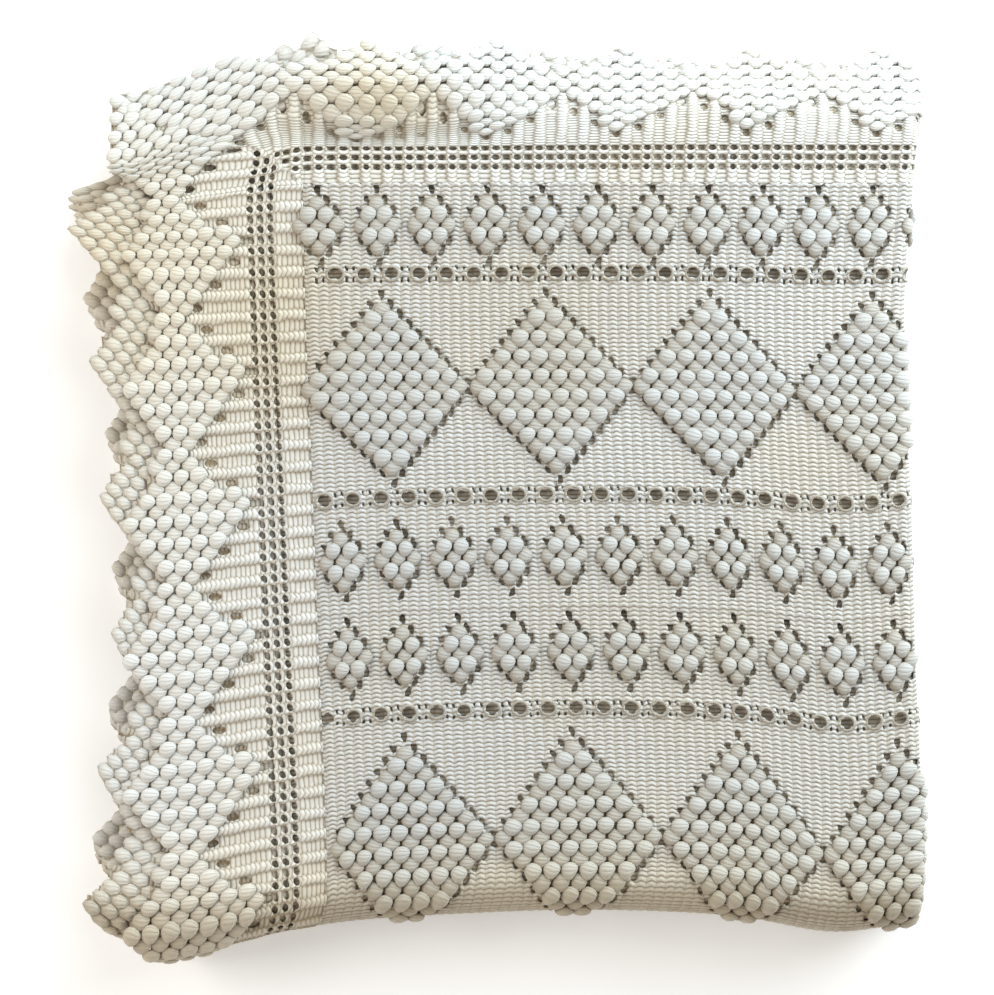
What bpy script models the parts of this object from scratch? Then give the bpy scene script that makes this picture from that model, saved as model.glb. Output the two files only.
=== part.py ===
"""Crochet bedspread, folded in four each way and laid down flat.

Seven crochet strips are sewn side by side, and a border with a zigzag outer edge runs round
them.  Each piece starts as a flat grid.  Its points are carried along two back-and-forth
paths, one across the cloth and one down it, and a Solidify modifier gives it its thickness.
Metres, +Z up.  The pile rests on z = 0, and its middle is over the origin.
"""
import math
from collections import namedtuple

import bmesh
import bpy
from mathutils import Vector

# The cloth
THICKNESS = 0.0024        # crochet cloth
LAYER = 0.0040            # from one layer to the next
STACK = 4 * LAYER         # four layers, after the cloth is folded across
GAP = 0.0003              # between two pieces that are sewn together
BORDER = 0.128            # width of the border, tip to seam
STRIPS = 7
SCALLOP = 0.091           # from one tip of the border to the next
SCALLOP_DEPTH = 0.028     # from a tip to a notch

# Where the folds and the free edges of the pile are
LEFT_EDGE = -0.259        # tips of the top layer
UNDER_EDGE = -0.281       # tips of the layer under it, which sticks out
LEFT_FOLD = -0.225
RIGHT_FOLD = 0.288
TOP_EDGE = 0.347          # before the edge hangs over
UNDER_TOP_EDGE = 0.316
TOP_FOLD = 0.240
BOTTOM_FOLD = -0.267

# The top edge hangs over the fold below it
HANG_START = 0.246
HANG_LENGTH = 0.040
HANG_ANGLE = math.radians(38)
HANG_CENTRE = 0.022

# How finely the pieces are cut.  Every layer is cut at the same places, so that they nest
PARTS = 5
PLACES_X = [LEFT_FOLD + (RIGHT_FOLD - LEFT_FOLD) * part / PARTS for part in range(PARTS + 1)]
PLACES_X = [UNDER_EDGE, *PLACES_X, RIGHT_FOLD + 2 * LAYER]
PLACES_Y = [BOTTOM_FOLD + (HANG_START - BOTTOM_FOLD) * part / PARTS for part in range(PARTS + 1)]
PLACES_Y = [BOTTOM_FOLD - 2 * STACK, *PLACES_Y]
PLACES_Y += [HANG_START + HANG_LENGTH / 2, HANG_START + HANG_LENGTH, TOP_EDGE]
BEND_STEPS = 4
WIDE_BEND_STEPS = 5
CLEAR = 0.018             # a tip or notch nearer than this to another cut is left out
NEAR = 0.003              # a common cut nearer than this to the end of a run is left out

# The middle of the folded pile, which goes to the origin
MIDDLE_X = 0.0095
MIDDLE_Y = -0.0022

CREAM = (0.82, 0.79, 0.70, 1.0)
BORDER_CREAM = (0.84, 0.80, 0.69, 1.0)

Run = namedtuple("Run", "start end base side")
Wave = namedtuple("Wave", "middle width rise")
Mound = namedtuple("Mound", "x y width length turn rise")

# A row for each run across the cloth, from its left edge to its right edge
ACROSS = (
    Run(LEFT_EDGE, RIGHT_FOLD, 3.5 * LAYER, 0),
    Run(RIGHT_FOLD, LEFT_FOLD, 0.5 * LAYER, 0),
    Run(LEFT_FOLD, RIGHT_FOLD, 1.5 * LAYER, 0),
    Run(RIGHT_FOLD, UNDER_EDGE, 2.5 * LAYER, 0),
)

# A row for each run down the cloth, which carries the four layers that lie across
DOWN = (
    Run(TOP_EDGE, BOTTOM_FOLD, 3 * STACK, 1),
    Run(BOTTOM_FOLD, TOP_FOLD, STACK, -1),
    Run(TOP_FOLD, BOTTOM_FOLD, STACK, 1),
    Run(BOTTOM_FOLD, UNDER_TOP_EDGE, 3 * STACK, -1),
)

# A row for each stretch where the bottom fold bows out (minus) or in (plus)
BOTTOM_WAVES = (
    Wave(-0.265, 0.105, -0.030),
    Wave(0.060, 0.110, 0.005),
    Wave(0.238, 0.050, -0.010),
)

# A row for each stretch where the right fold bows out (plus) or in (minus)
RIGHT_WAVES = (
    Wave(0.300, 0.090, 0.006),
    Wave(0.120, 0.120, -0.007),
    Wave(-0.220, 0.090, 0.005),
)

# Where the hanging edge is lifted, as a share of its angle
LIFTED = Wave(-0.091, 0.140, 0.35)

# A row for each soft ridge (plus) or trough (minus) in the top of the pile
MOUNDS = (
    Mound(-0.095, 0.292, 0.034, 0.140, 0, 0.009),
    Mound(-0.205, 0.180, 0.060, 0.090, 50, 0.003),
    Mound(0.150, 0.270, 0.040, 0.090, 0, 0.003),
    Mound(0.020, 0.130, 0.070, 0.160, -20, -0.002),
    Mound(0.140, -0.020, 0.070, 0.200, 35, 0.002),
    Mound(-0.120, -0.080, 0.070, 0.150, 70, 0.002),
    Mound(0.060, -0.170, 0.070, 0.180, -10, -0.002),
)


def height(run, offset):
    """Height of a run, for a layer that lies offset above the foot of its stack."""
    return run.base + run.side * offset


def bend_length(before, after, offset):
    """Length of cloth in the half round bend between two runs."""
    return math.pi * abs(height(before, offset) - height(after, offset)) / 2


def path_length(runs, offset):
    """Length of cloth along a whole path."""
    total = sum(abs(run.end - run.start) for run in runs)
    for before, after in zip(runs, runs[1:]):
        total += bend_length(before, after, offset)
    return total


def round_bend(before, after, share, offset):
    """Place and height part of the way round the bend between two runs."""
    radius = (height(before, offset) - height(after, offset)) / 2
    centre = (height(before, offset) + height(after, offset)) / 2
    outward = math.copysign(abs(radius), before.end - before.start)
    place = before.end + outward * math.sin(math.pi * share)
    return place, centre + radius * math.cos(math.pi * share)


def along(runs, flat, offset, middle):
    """Place and height after a length of cloth, for a layer at an offset in its stack.

    The bends are as long as they are at the middle of the stack, for every layer.
    """
    run = runs[0]
    for after in runs[1:]:
        length = abs(run.end - run.start)
        bend = bend_length(run, after, middle)
        if flat <= length:
            break
        if flat < length + bend:
            return round_bend(run, after, (flat - length) / bend, offset)
        flat -= length + bend
        run = after
    share = flat / abs(run.end - run.start)
    return run.start + (run.end - run.start) * share, height(run, offset)


def swell(wave, place):
    """A soft bow, highest at its middle."""
    return wave.rise * math.exp(-((place - wave.middle) / wave.width) ** 2)


def bottom_bow(x):
    """How far the bottom fold bows at a place across."""
    return sum(swell(row, x) for row in BOTTOM_WAVES)


def right_bow(y):
    """How far the right fold bows at a place up the pile."""
    return sum(swell(row, y) for row in RIGHT_WAVES)


def relief(x, y):
    """Height of the ridges and troughs in the top of the pile."""
    return sum(mound(row, x, y) for row in MOUNDS)


def mound(row, x, y):
    """A soft ridge or trough that lies turned in the plane."""
    turn = math.radians(row.turn)
    run = (x - row.x) * math.cos(turn) + (y - row.y) * math.sin(turn)
    rise = (y - row.y) * math.cos(turn) - (x - row.x) * math.sin(turn)
    return row.rise * math.exp(-(run / row.length) ** 2 - (rise / row.width) ** 2)


def between(places, value, shape):
    """A shape read at the common places, and straight from one place to the next."""
    pairs = zip(places, places[1:])
    low, high = next((pair for pair in pairs if value <= pair[1]), (places[-2], places[-1]))
    share = (value - low) / (high - low)
    return shape(low) * (1 - share) + shape(high) * share


def hang(x, y, z):
    """Bend the free top edge down over the fold that lies below it."""
    beyond = y - HANG_START
    if beyond <= 0 or z < 2 * STACK:
        return y, z
    full = HANG_ANGLE * (1 - between(PLACES_X, x, lambda place: swell(LIFTED, place)))
    angle = full * min(beyond / HANG_LENGTH, 1)
    straight = max(beyond - HANG_LENGTH, 0)
    radius = z - HANG_CENTRE
    reach = radius * math.sin(angle) + straight * math.cos(angle)
    return HANG_START + reach, HANG_CENTRE + radius * math.cos(angle) - straight * math.sin(angle)


def place(across, down):
    """Where a point of the flat cloth lies in the pile.

    The relief fades away towards the foot of the pile, which is flat.
    """
    x, offset = along(ACROSS, across, 0, 0)
    y, z = along(DOWN, down, offset, STACK / 2)
    share = (z - LAYER / 2) / (4 * STACK - LAYER)
    rise = between(PLACES_X, x, lambda far: between(PLACES_Y, y, lambda up: relief(far, up)))
    z += share * share * rise
    low = min(max((HANG_START - y) / (HANG_START - BOTTOM_FOLD), 0), 1)
    right = min(max((x - LEFT_FOLD) / (RIGHT_FOLD - LEFT_FOLD), 0), 1)
    bow_y = low * between(PLACES_X, x, bottom_bow)
    bow_x = right * between(PLACES_Y, y, right_bow)
    y, z = hang(x, y, z)
    return Vector((x + bow_x - MIDDLE_X, y + bow_y - MIDDLE_Y, z - LAYER / 2 + THICKNESS / 2))


def cuts(runs, places, middle, steps):
    """Flat lengths at which a path is cut: at the common places, and round its bends."""
    marks = [0.0]
    for index, run in enumerate(runs):
        start = marks[-1]
        length = abs(run.end - run.start)
        inside = [abs(place - run.start) for place in places
                  if min(run.start, run.end) + NEAR < place < max(run.start, run.end) - NEAR]
        marks += [start + far for far in sorted(inside)] + [start + length]
        if index < len(runs) - 1:
            bend = bend_length(run, runs[index + 1], middle)
            start = marks[-1]
            marks += [start + bend * part / steps[index] for part in range(1, steps[index] + 1)]
    return marks


def in_bend(runs, flat, middle):
    """Whether a flat length falls in a bend, its ends included."""
    for before, after in zip(runs, runs[1:]):
        flat -= abs(before.end - before.start)
        bend = bend_length(before, after, middle)
        if -NEAR <= flat <= bend + NEAR:
            return True
        flat -= bend
    return False


def with_seams(marks, seams):
    """Cuts with the seams among them, and no other cut right beside a seam."""
    kept = [mark for mark in marks if min(abs(mark - seam) for seam in seams) > NEAR]
    return sorted(kept + list(seams))


def on_seam(marks, flat):
    """The two cuts on either side of a length, and the share of the way between them."""
    for low, high in zip(marks, marks[1:]):
        if low <= flat <= high:
            return low, high, (flat - low) / (high - low)
    return marks[-1], marks[-1], 0.0


def notch(flat, total):
    """How far the outer edge of the border draws in, along a side of a given length."""
    tips = round(total / SCALLOP)
    wave = flat / total * tips
    return SCALLOP_DEPTH * (1 - abs(2 * (wave % 1) - 1))


def material(name, colour):
    """Matt cotton in one colour."""
    cotton = bpy.data.materials.new(name)
    cotton.use_nodes = True
    shader = cotton.node_tree.nodes["Principled BSDF"]
    shader.inputs["Base Color"].default_value = colour
    shader.inputs["Roughness"].default_value = 0.9
    return cotton


def finish(mesh, name, cotton, collection):
    """Make a grid into an object with the thickness of the cloth."""
    data = bpy.data.meshes.new(name)
    mesh.to_mesh(data)
    mesh.free()
    piece = bpy.data.objects.new(name, data)
    collection.objects.link(piece)
    data.materials.append(cotton)
    cloth = piece.modifiers.new("Thickness", "SOLIDIFY")
    cloth.thickness = THICKNESS
    cloth.offset = 0.0
    cloth.use_even_offset = True
    return piece


def flat_grid(columns, rows):
    """A grid with a point for each column and row, and the column and row of each point."""
    mesh = bmesh.new()
    bmesh.ops.create_grid(mesh, x_segments=len(columns) - 1, y_segments=len(rows) - 1, size=0.5)
    spots = {}
    for point in mesh.verts:
        column = round((point.co.x + 0.5) * (len(columns) - 1))
        row = round((point.co.y + 0.5) * (len(rows) - 1))
        spots[point] = (column, row)
    return mesh, spots


def make_strip(name, columns, rows, cotton, collection):
    """One strip of the field, from its flat cuts."""
    mesh, spots = flat_grid(columns, rows)
    for point, (column, row) in spots.items():
        point.co = place(columns[column], rows[row])
    return finish(mesh, name, cotton, collection)


def side_cuts(field, total, runs, middle):
    """Cuts along one side of the border: the field's own, and its tips and notches."""
    halves = 2 * round(total / SCALLOP)
    marks = list(field)
    for turn in (total * index / halves for index in range(halves)):
        inside = BORDER + CLEAR < turn < total - BORDER - CLEAR
        apart = min(abs(turn - other) for other in field) > CLEAR
        if inside and apart and not in_bend(runs, turn, middle):
            marks.append(turn)
    return sorted(marks)


def make_border(width, length, field_columns, field_rows, cotton, collection):
    """The border: a ring of cloth with a zigzag outer edge."""
    columns = side_cuts(field_columns, width, ACROSS, 0)
    rows = side_cuts(field_rows, length, DOWN, STACK / 2)
    mesh, spots = flat_grid(columns, rows)
    first_column = columns.index(BORDER)
    last_column = columns.index(width - BORDER)
    first_row = rows.index(BORDER)
    last_row = rows.index(length - BORDER)
    for point, (column, row) in spots.items():
        across = columns[column]
        down = rows[row]
        if column == 0:
            across += notch(rows[row], length)
        if column == len(columns) - 1:
            across -= notch(rows[row], length)
        if row == 0:
            down += notch(columns[column], width)
        if row == len(rows) - 1:
            down -= notch(columns[column], width)
        if column in (first_column, last_column) and first_row < row < last_row:
            low, high, share = on_seam(field_rows, down)
            point.co = place(across, low).lerp(place(across, high), share)
        elif row in (first_row, last_row) and first_column < column < last_column:
            low, high, share = on_seam(field_columns, across)
            point.co = place(low, down).lerp(place(high, down), share)
        else:
            point.co = place(across, down)
    inner = [point for point, (column, row) in spots.items()
             if first_column < column < last_column and first_row < row < last_row]
    bmesh.ops.delete(mesh, geom=inner, context="VERTS")
    return finish(mesh, "border", cotton, collection)


def main():
    for old in list(bpy.data.objects):
        bpy.data.objects.remove(old)
    collection = bpy.data.collections.new("crochet_bedspread")
    bpy.context.scene.collection.children.link(collection)

    width = path_length(ACROSS, 0)
    length = path_length(DOWN, STACK / 2)
    strip = (length - 2 * BORDER) / STRIPS
    seams_down = [BORDER + strip * index for index in range(STRIPS)] + [length - BORDER]
    seams_across = [BORDER, width - BORDER]
    across_cuts = cuts(ACROSS, PLACES_X, 0, (BEND_STEPS, BEND_STEPS, BEND_STEPS))
    down_cuts = cuts(DOWN, PLACES_Y, STACK / 2, (WIDE_BEND_STEPS, BEND_STEPS, BEND_STEPS))
    field_columns = with_seams(across_cuts, seams_across)
    field_rows = with_seams(down_cuts, seams_down)

    strip_cotton = material("strip_cotton", CREAM)
    inside = [mark for mark in field_columns if BORDER < mark < width - BORDER]
    columns = [BORDER + GAP, *inside, width - BORDER - GAP]
    for index in range(STRIPS):
        top = seams_down[index]
        bottom = seams_down[index + 1]
        between = [mark for mark in field_rows if top < mark < bottom]
        top_gap = GAP if index == 0 else GAP / 2
        bottom_gap = GAP if index == STRIPS - 1 else GAP / 2
        rows = [top + top_gap, *between, bottom - bottom_gap]
        make_strip(f"strip_{index + 1}", columns, rows, strip_cotton, collection)

    border_cotton = material("border_cotton", BORDER_CREAM)
    make_border(width, length, field_columns, field_rows, border_cotton, collection)


main()
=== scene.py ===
import math
import random
from collections import namedtuple

import bmesh
import bpy
import numpy as np
from mathutils import Matrix, Vector


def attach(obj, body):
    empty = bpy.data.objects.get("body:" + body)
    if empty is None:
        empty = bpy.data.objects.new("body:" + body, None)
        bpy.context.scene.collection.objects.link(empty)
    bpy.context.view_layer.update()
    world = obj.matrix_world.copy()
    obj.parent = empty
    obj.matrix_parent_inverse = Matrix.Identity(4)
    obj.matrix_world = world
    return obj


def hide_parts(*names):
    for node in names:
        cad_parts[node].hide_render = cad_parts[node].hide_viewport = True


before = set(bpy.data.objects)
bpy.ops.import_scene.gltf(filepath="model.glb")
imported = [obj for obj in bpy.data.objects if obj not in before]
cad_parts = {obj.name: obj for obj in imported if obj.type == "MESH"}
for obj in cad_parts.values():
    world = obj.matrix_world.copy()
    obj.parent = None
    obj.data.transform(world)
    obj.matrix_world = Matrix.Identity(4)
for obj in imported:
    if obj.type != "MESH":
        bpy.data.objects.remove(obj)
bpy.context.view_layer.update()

# ---------------------------------------------------------------------------------------------
# The seven strips of the field: matt cream cotton, worked sideways in trebles.  Small bobble
# diamonds, eyelets, large diamonds, eyelets and small diamonds follow each other.  All the
# cloth is worked flat, in its own measures, then folded back and forth across and down.
# ---------------------------------------------------------------------------------------------
LAYER = 0.004             # from one layer of the pile to the next
STACK = 4 * LAYER         # four layers, once the cloth is folded across
BORDER = 0.128            # width of the border, from its tips to its seam
STRIPS = 7
LEFT_EDGE = -0.259        # where the folds and free edges lie, seen from above
UNDER_EDGE = -0.281
LEFT_FOLD = -0.225
RIGHT_FOLD = 0.288
TOP_EDGE = 0.347
UNDER_TOP_EDGE = 0.316
TOP_FOLD = 0.240
BOTTOM_FOLD = -0.267
HANG_START = 0.246        # the top edge hangs over the fold below it
HANG_LENGTH = 0.040
HANG_ANGLE = math.radians(38)
HANG_CENTRE = 0.022
LIFT_EASE = 0.6           # how much wider the bend is where the edge is propped up
MIDDLE_X = 0.0095         # the middle of the pile goes to the origin
MIDDLE_Y = -0.0022
FOOT = 0.0008             # the lowest layer is let down by this, onto the floor
FLOOR_GAP = 0.0002

Run = namedtuple("Run", "start end base side")
ACROSS = (
    Run(LEFT_EDGE, RIGHT_FOLD, 3.5 * LAYER, 1),
    Run(RIGHT_FOLD, LEFT_FOLD, 0.5 * LAYER, -1),
    Run(LEFT_FOLD, RIGHT_FOLD, 1.5 * LAYER, 1),
    Run(RIGHT_FOLD, UNDER_EDGE, 2.5 * LAYER, -1),
)
DOWN = (
    Run(TOP_EDGE, BOTTOM_FOLD, 3 * STACK, 1),
    Run(BOTTOM_FOLD, TOP_FOLD, STACK, -1),
    Run(TOP_FOLD, BOTTOM_FOLD, STACK, 1),
    Run(BOTTOM_FOLD, UNDER_TOP_EDGE, 3 * STACK, -1),
)

Wave = namedtuple("Wave", "middle width rise")
BOTTOM_WAVES = (Wave(-0.265, 0.105, -0.030), Wave(0.060, 0.110, 0.005),
                Wave(0.238, 0.050, -0.010))
RIGHT_WAVES = (Wave(0.300, 0.090, 0.006), Wave(0.120, 0.120, -0.007), Wave(-0.220, 0.090, 0.005))
# Where the hanging edge is propped up
LIFTED = (Wave(-0.085, 0.110, 0.66), Wave(-0.310, 0.080, 0.50))

Mound = namedtuple("Mound", "x y width length turn rise")
MOUNDS = (
    Mound(-0.075, 0.312, 0.024, 0.090, 3, 0.015),
    Mound(-0.075, 0.266, 0.024, 0.080, 0, -0.005),
    Mound(0.175, 0.288, 0.020, 0.045, 0, 0.005),
    Mound(-0.205, 0.180, 0.060, 0.090, 50, 0.003),
    Mound(0.150, 0.270, 0.040, 0.090, 0, 0.003),
    Mound(0.020, 0.130, 0.070, 0.160, -20, -0.002),
    Mound(0.140, -0.020, 0.070, 0.200, 35, 0.002),
    Mound(-0.120, -0.080, 0.070, 0.150, 70, 0.002),
    Mound(0.060, -0.170, 0.070, 0.180, -10, -0.002),
)

# The free edges stray from their straight lines: sideways at the left, up and down at the top
LEFT_STRAY = (Wave(0.330, 0.080, 0.060), Wave(0.185, 0.060, -0.017), Wave(-0.090, 0.090, 0.013),
              Wave(-0.290, 0.060, -0.006))
UNDER_STRAY = (Wave(0.195, 0.035, -0.008), Wave(0.020, 0.050, 0.006))
TOP_STRAY = (Wave(-0.120, 0.036, 0.034), Wave(-0.168, 0.022, 0.016), Wave(0.006, 0.028, 0.028),
             Wave(0.072, 0.026, 0.030), Wave(0.257, 0.040, 0.026))
LEFT_RISE = 0.017         # the turned-under part of the left edge lies this much further up
CORNER_PULL = (-0.012, -0.036)
MESH_CORNER = 0.096       # the mesh turns its corner this far in from both edges,
CORNER_TURN = 0.0065      # and rounds it by this much,
TURN_WIDTH = 0.024        # over this distance
FACE_LEAN = 0.009         # the face is pulled over by this much at the near fold
MESH_SWAY = 0.0115        # and the mesh down its left side sways by this much more
SWAY_STILL = 0.6          # the place down the face, as a share, where it doesn't sway

# Stretches, of place or of height, over which each of these grows
Span = namedtuple("Span", "start end")
WHOLE_STACK = Span(LAYER / 2, 4 * STACK - LAYER / 2)
DOWN_FACE = Span(0.250, -0.250)
LEFT_FREE = Span(LEFT_FOLD + 0.05, LEFT_FOLD - 0.05)
TOP_FREE = Span(TOP_FOLD - 0.02, TOP_FOLD + 0.06)
PAST_BEND = Span(abs(BOTTOM_FOLD - TOP_EDGE), abs(BOTTOM_FOLD - TOP_EDGE) + 0.05)
RISEN_EDGE = Span(0.300, 0.200)
LEAN_LEFT = Span(LEFT_EDGE, LEFT_EDGE + 0.12)
LEAN_RIGHT = Span(RIGHT_FOLD, RIGHT_FOLD - 0.15)
SWAY_LEFT = Span(LEFT_EDGE, LEFT_EDGE + 0.06)
SWAY_RIGHT = Span(-0.100, -0.145)
PULL_ACROSS = Span(-0.150, -0.240)
PULL_UP = Span(0.170, 0.290)
BOW_DOWN = Span(HANG_START, BOTTOM_FOLD)
BOW_RIGHT = Span(LEFT_FOLD, RIGHT_FOLD)


def bend_length(before, after, middle):
    rise = before.base + before.side * middle - after.base - after.side * middle
    return math.pi * abs(rise) / 2


def path_length(runs, middle):
    bends = sum(bend_length(before, after, middle) for before, after in zip(runs, runs[1:]))
    return bends + sum(abs(run.end - run.start) for run in runs)


def along(runs, flat, offset, middle):
    """Place and height of points on one path, from how far along the cloth they are."""
    left = flat.copy()
    place = np.zeros_like(flat)
    height = np.zeros_like(flat)
    todo = np.ones(flat.shape, bool)
    for index, run in enumerate(runs):
        length = abs(run.end - run.start)
        last = index == len(runs) - 1
        here = todo & ((left <= length) | last)
        place[here] = run.start + (run.end - run.start) * left[here] / length
        height[here] = run.base + run.side * offset[here]
        todo &= ~here
        left = left - length
        if not last:
            after = runs[index + 1]
            bend = bend_length(run, after, middle)
            here = todo & (left < bend)
            first = run.base + run.side * offset[here]
            second = after.base + after.side * offset[here]
            radius = (first - second) / 2
            angle = math.pi * left[here] / bend
            outward = math.copysign(1, run.end - run.start)
            place[here] = run.end + outward * np.abs(radius) * np.sin(angle)
            height[here] = (first + second) / 2 + radius * np.cos(angle)
            todo &= ~here
            left = left - bend
    return place, height


def swell(waves, place):
    """How far soft waves move each place."""
    return sum(wave.rise * np.exp(-((place - wave.middle) / wave.width) ** 2) for wave in waves)


def ramp(place, span, least=0, most=1):
    """0 at the start of a span, growing evenly to 1 at its end."""
    return np.clip((place - span.start) / (span.end - span.start), least, most)


def relief(x, y):
    """Height of the soft ridges and troughs in the face of the pile."""
    total = np.zeros_like(x)
    for row in MOUNDS:
        turn = math.radians(row.turn)
        run = (x - row.x) * math.cos(turn) + (y - row.y) * math.sin(turn)
        rise = (y - row.y) * math.cos(turn) - (x - row.x) * math.sin(turn)
        total += row.rise * np.exp(-(run / row.length) ** 2 - (rise / row.width) ** 2)
    return total


def hang(x, y, z):
    """Bend the free top edge down over the fold that lies below it."""
    beyond = np.where(z > 2 * STACK, np.maximum(y - HANG_START, 0), 0)
    lift = swell(LIFTED, x)
    angle = HANG_ANGLE * (1 - lift) * np.minimum(beyond / HANG_LENGTH, 1)
    straight = np.maximum(beyond - HANG_LENGTH, 0)
    radius = (z - HANG_CENTRE) / (1 - LIFT_EASE * lift)
    over = beyond > 0
    reach = HANG_START + radius * np.sin(angle) + straight * np.cos(angle)
    drop = z - radius * (1 - np.cos(angle)) - straight * np.sin(angle)
    return np.where(over, reach, y), np.where(over, drop, z)


def fold(flat):
    """Where points of the flat cloth (across, down, above its face) lie in the pile."""
    from_corner = np.hypot(flat[:, 0] - MESH_CORNER, flat[:, 1] - MESH_CORNER)
    turn = CORNER_TURN * np.exp(-(from_corner / TURN_WIDTH) ** 2)
    x, offset = along(ACROSS, flat[:, 0] + turn, flat[:, 2], 0)
    y, z = along(DOWN, flat[:, 1] + turn, offset, STACK / 2)
    upper = ramp(z, WHOLE_STACK) ** 2
    z = z + upper * relief(x, y)
    down_face = ramp(y, DOWN_FACE)

    turned = flat[:, 0] > WIDTH - abs(ACROSS[-1].end - ACROSS[-1].start)
    free = ramp(x, LEFT_FREE, most=1.2) * turned
    stray_x = free * (swell(LEFT_STRAY, y) + ramp(flat[:, 1], PAST_BEND) * swell(UNDER_STRAY, y))
    stray_y = free * LEFT_RISE * ramp(y, RISEN_EDGE, least=-0.5)
    inside = ramp(x, LEAN_LEFT) * ramp(x, LEAN_RIGHT)
    stray_x = stray_x + FACE_LEAN * upper * inside * down_face
    beside = ramp(x, SWAY_LEFT) * ramp(x, SWAY_RIGHT)
    stray_x = stray_x + MESH_SWAY * upper * beside * (down_face - SWAY_STILL)
    last = flat[:, 1] > LENGTH - abs(DOWN[-1].end - DOWN[-1].start)
    stray_y = stray_y + ramp(y, TOP_FREE, most=1.2) * last * swell(TOP_STRAY, x)

    near_corner = ramp(x, PULL_ACROSS) * ramp(y, PULL_UP)
    bow_y = ramp(y, BOW_DOWN, most=1.1) * swell(BOTTOM_WAVES, x)
    bow_x = ramp(x, BOW_RIGHT, most=1.1) * swell(RIGHT_WAVES, y)
    y, z = hang(x, y, z)
    x = x + bow_x + stray_x + near_corner * CORNER_PULL[0]
    y = y + bow_y + stray_y + near_corner * CORNER_PULL[1]
    return np.stack([x - MIDDLE_X, y - MIDDLE_Y, np.maximum(z - FOOT, FLOOR_GAP)], axis=1)


WIDTH = path_length(ACROSS, 0)
LENGTH = path_length(DOWN, STACK / 2)
STRIP = (LENGTH - 2 * BORDER) / STRIPS
FACE_ACROSS = 0.575       # the cloth that shows on the face runs this far across,
FACE_DOWN = BORDER + 2 * STRIP    # and this far down, round the folds
BEND_PARTS = 8
CLOSEST = 1e-4            # cuts that lie closer than this are one cut


def cuts(runs, middle, step, low, high):
    """Places to cut the cloth between two lengths: evenly along runs, closely round bends."""
    marks = [low, high]
    start = 0
    for index, run in enumerate(runs):
        length = abs(run.end - run.start)
        parts = max(round(length / step), 1)
        marks += [start + length * part / parts for part in range(parts + 1)]
        start += length
        if index < len(runs) - 1:
            bend = bend_length(run, runs[index + 1], middle)
            marks += [start + bend * part / BEND_PARTS for part in range(BEND_PARTS + 1)]
            start += bend
    kept = sorted(mark for mark in marks if low <= mark <= high)
    return [a for a, b in zip(kept, kept[1:]) if b - a > CLOSEST] + [kept[-1]]


def even(low, high, step):
    """Places to cut a flat stretch of cloth into equal parts of about one step."""
    parts = max(round((high - low) / step), 1)
    return [low + (high - low) * part / parts for part in range(parts + 1)]


def add_flat(work, columns, rows):
    """Add a flat grid of cloth, cut at the columns and rows."""
    made = bmesh.ops.create_grid(
        work, x_segments=len(columns) - 1, y_segments=len(rows) - 1, size=0.5)["verts"]
    for point in made:
        column = round((point.co.x + 0.5) * (len(columns) - 1))
        row = round((point.co.y + 0.5) * (len(rows) - 1))
        point.co = (columns[column], rows[row], 0)


Hole = namedtuple("Hole", "x y half_x half_y slant taper")
HOLE_CELL = 0.02          # holes are looked up by squares of this size
SNAP = 0.0016             # points of a rim move at most this far to make it round
RIM_START = 0.3           # points closer to a hole's middle than this are left alone


def from_middle(hole, x, y):
    """How far a point is from a hole's middle, across and down, in the hole's own measures."""
    down = (y - hole.y) / hole.half_y
    half_x = hole.half_x * (1 - hole.taper * min(max(down, -1), 1))
    return (x - hole.x - hole.slant * (y - hole.y)) / half_x, down


def open_holes(work, holes):
    """Take the cloth out of each hole, and round its rim."""
    near = {}
    for hole in holes:
        near.setdefault((int(hole.x / HOLE_CELL), int(hole.y / HOLE_CELL)), []).append(hole)

    def around(co):
        cell = (int(co.x / HOLE_CELL), int(co.y / HOLE_CELL))
        for across in (-1, 0, 1):
            for down in (-1, 0, 1):
                yield from near.get((cell[0] + across, cell[1] + down), ())

    gone = []
    for face in work.faces:
        co = face.calc_center_median()
        if any(math.hypot(*from_middle(hole, co.x, co.y)) < 1 for hole in around(co)):
            gone.append(face)
    bmesh.ops.delete(work, geom=gone, context="FACES")
    for point in work.verts:
        best = SNAP
        for hole in around(point.co) if point.is_boundary else ():
            across, down = from_middle(hole, point.co.x, point.co.y)
            far = math.hypot(across, down)
            off = abs(far - 1) * min(hole.half_x, hole.half_y)
            if far > RIM_START and off < best:
                best = off
                down /= far
                half_x = hole.half_x * (1 - hole.taper * down)
                x = hole.x + hole.slant * down * hole.half_y + across / far * half_x
                goal = (x, hole.y + down * hole.half_y)
        if best < SNAP:
            point.co.x, point.co.y = goal


def keep_points(mesh):
    """The points of a mesh, one to a row."""
    flat = np.empty(len(mesh.vertices) * 3)
    mesh.vertices.foreach_get("co", flat)
    return flat.reshape(-1, 3)


Spot = namedtuple("Spot", "x y half_x half_y strength")
# A yellower tint at the upper left, and painted warm shade in the hollow behind the top crest,
# beside the left mesh and round the near fold
YELLOW_TINT_AND_WARM_SHADE = (
    Spot(-0.250, 0.160, 0.090, 0.090, 0.9),
    Spot(0.000, -0.300, 0.400, 0.060, 0.9),
    Spot(-0.083, 0.282, 0.050, 0.020, 0.7),
    Spot(-0.155, 0.125, 0.045, 0.070, 0.45),
)
# Painted shade in soft spots where the face lies lower: behind the top crest, beside the left mesh
# and in the middle of the field
SHADED = (
    Spot(-0.083, 0.276, 0.060, 0.016, 0.20),
    Spot(-0.150, 0.115, 0.034, 0.080, 0.13),
    Spot(-0.190, 0.115, 0.045, 0.090, 0.07),
    Spot(0.022, 0.120, 0.110, 0.060, 0.11),
)
NEAR_SHADE = 0.45         # painted shade, greyer where the cloth turns down at the near fold
NEAR_FOLD = Span(-0.268, -0.290)


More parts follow.
